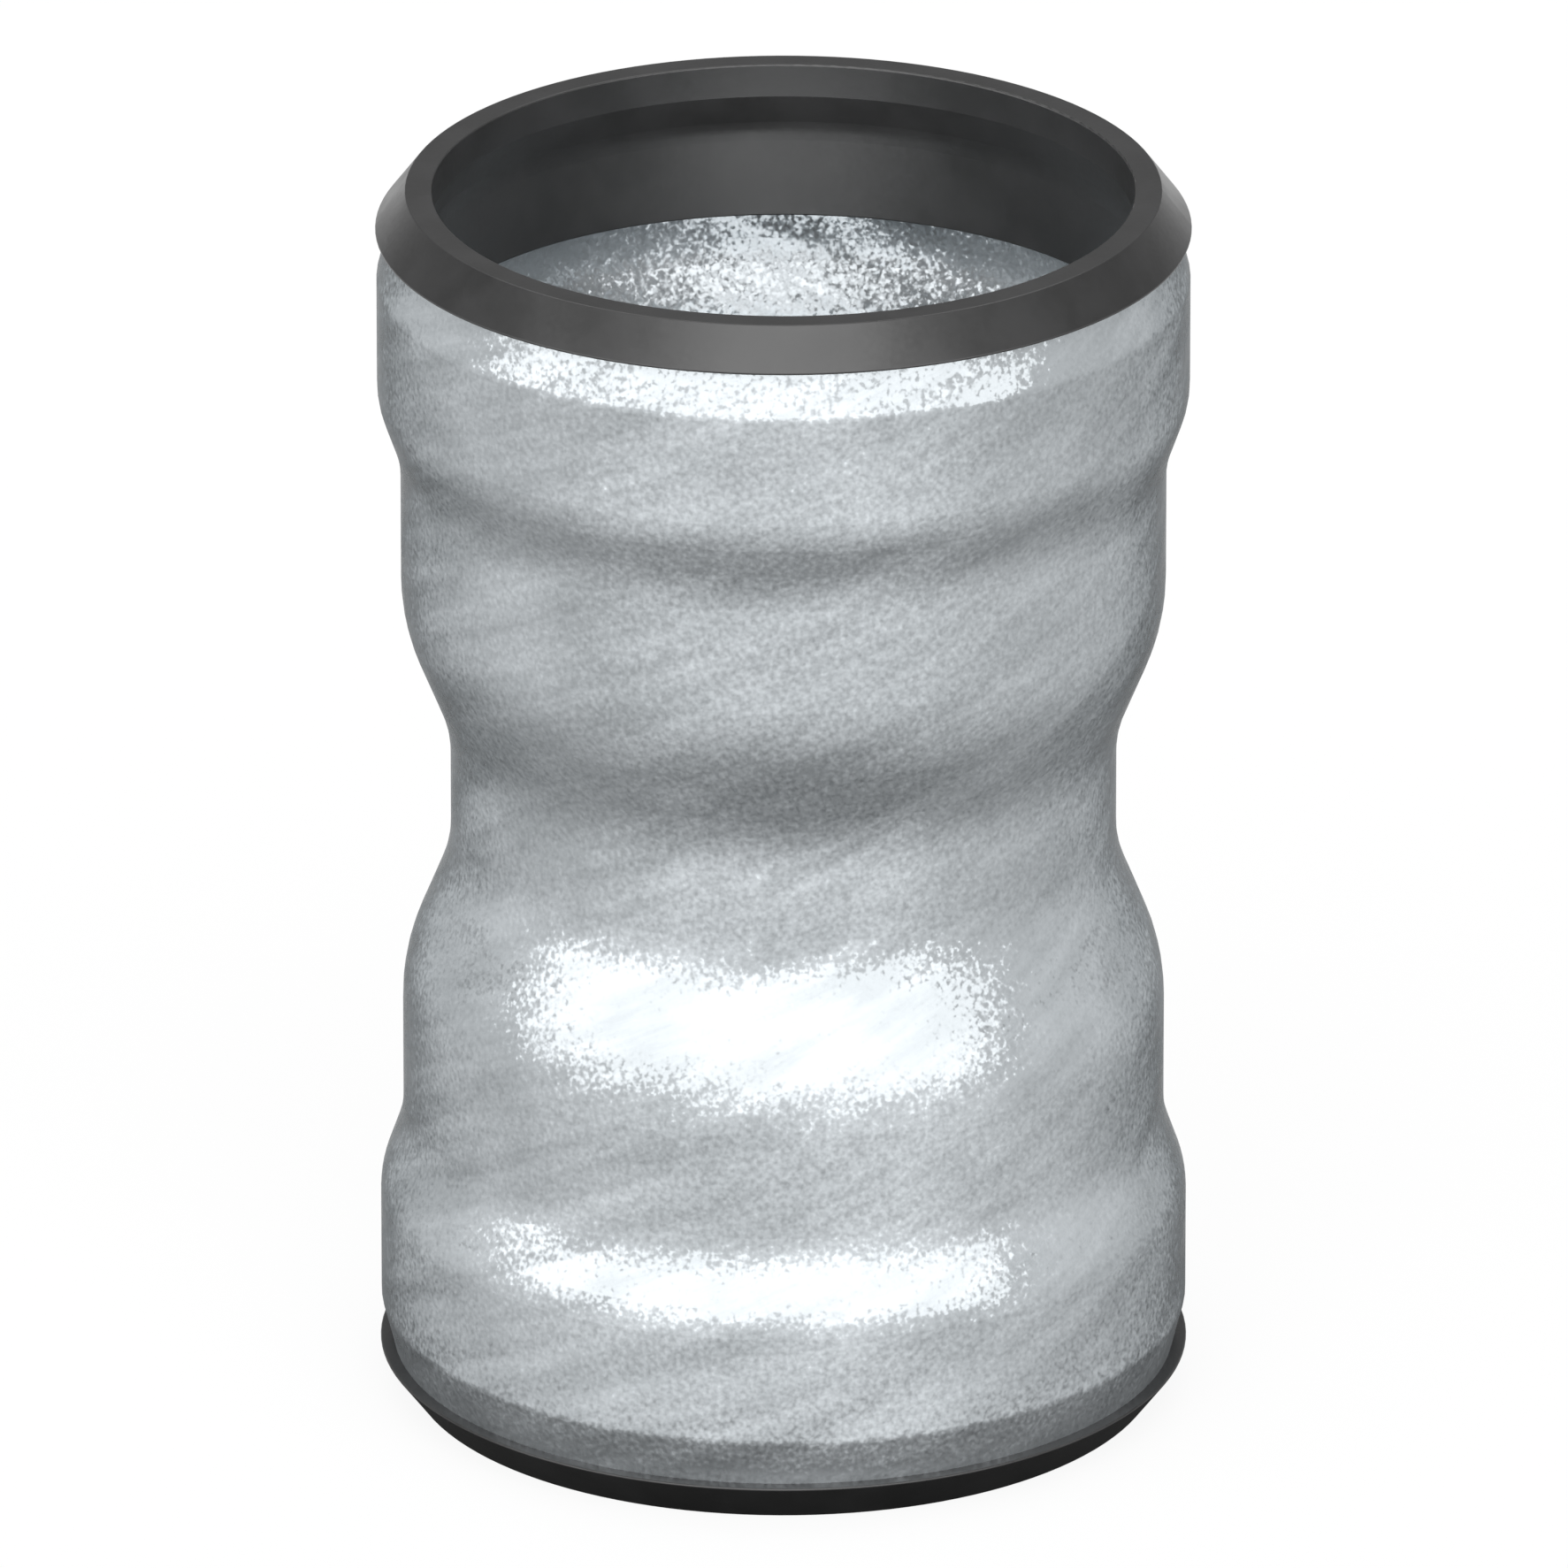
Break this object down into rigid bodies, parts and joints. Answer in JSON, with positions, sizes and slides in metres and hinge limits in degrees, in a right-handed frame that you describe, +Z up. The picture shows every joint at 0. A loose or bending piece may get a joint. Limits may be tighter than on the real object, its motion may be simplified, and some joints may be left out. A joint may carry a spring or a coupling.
{
  "type": "double socket pipe coupling",
  "caption": "Round steel pipe coupling with a socket at each end, a narrow waist between them that stops the pipes, and a black rubber seal with a bevelled collar in each mouth.",
  "frame": {"origin": "centre of the foot: the middle of the lower seal's flat end face, on the pipe axis", "axes": "+Z up along the pipe axis, from the lower socket to the upper one; X and Y are square to it, and the part is the same all round"},
  "size_m": [0.1148, 0.1148, 0.18],
  "materials": {
    "galvanised_steel": "hot-dip galvanised, mottled satin with a fine grain",
    "seal_rubber": "smooth moulded black rubber, slightly glossy"
  },
  "bodies": {
    "root": {"coupling_sleeve": "galvanised_steel", "upper_seal": "seal_rubber", "lower_seal": "seal_rubber"}
  },
  "joints": []
}
